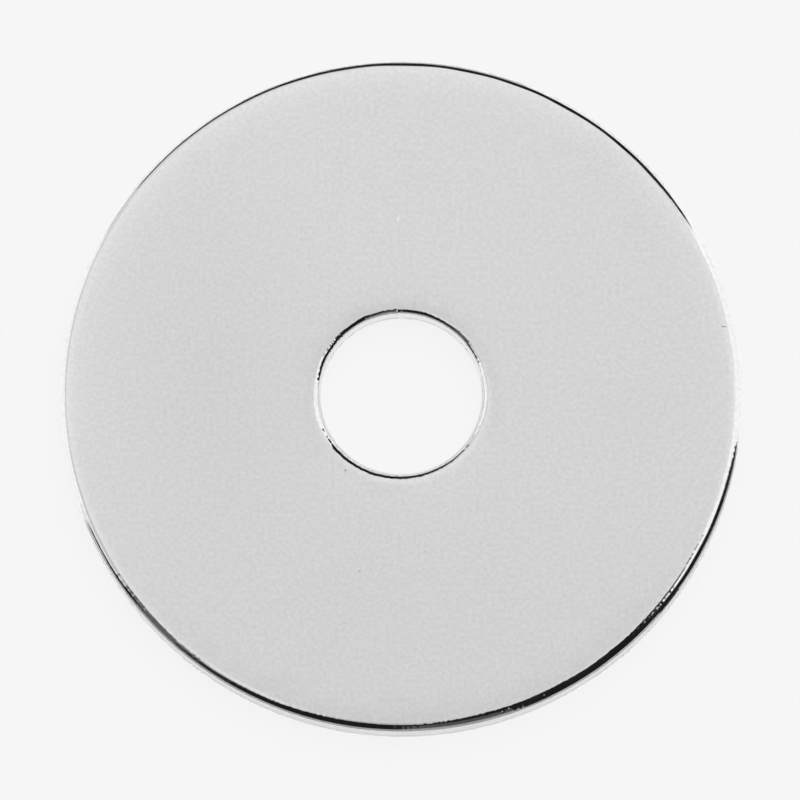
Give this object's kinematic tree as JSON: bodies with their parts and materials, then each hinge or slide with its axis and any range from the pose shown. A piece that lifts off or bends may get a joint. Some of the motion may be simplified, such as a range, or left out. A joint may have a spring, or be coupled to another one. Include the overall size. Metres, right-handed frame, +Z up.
{
  "type": "flat washer",
  "caption": "Wide flat steel washer with a plain central bolt hole, rolled upper edges at the rim and hole, and a bright satin plated finish.",
  "frame": {"origin": "centre of the hole on the underside, in the plane that the washer lies on", "axes": "+Z up the hole's axis, through the face with the rolled edges; the washer is round, so X and Y are free"},
  "size_m": [0.035, 0.035, 0.002],
  "materials": {
    "plated_steel": "bright satin plating over stamped steel, neutral silver grey, polished on the rolled edges"
  },
  "bodies": {
    "root": {"washer": "plated_steel"}
  },
  "joints": []
}
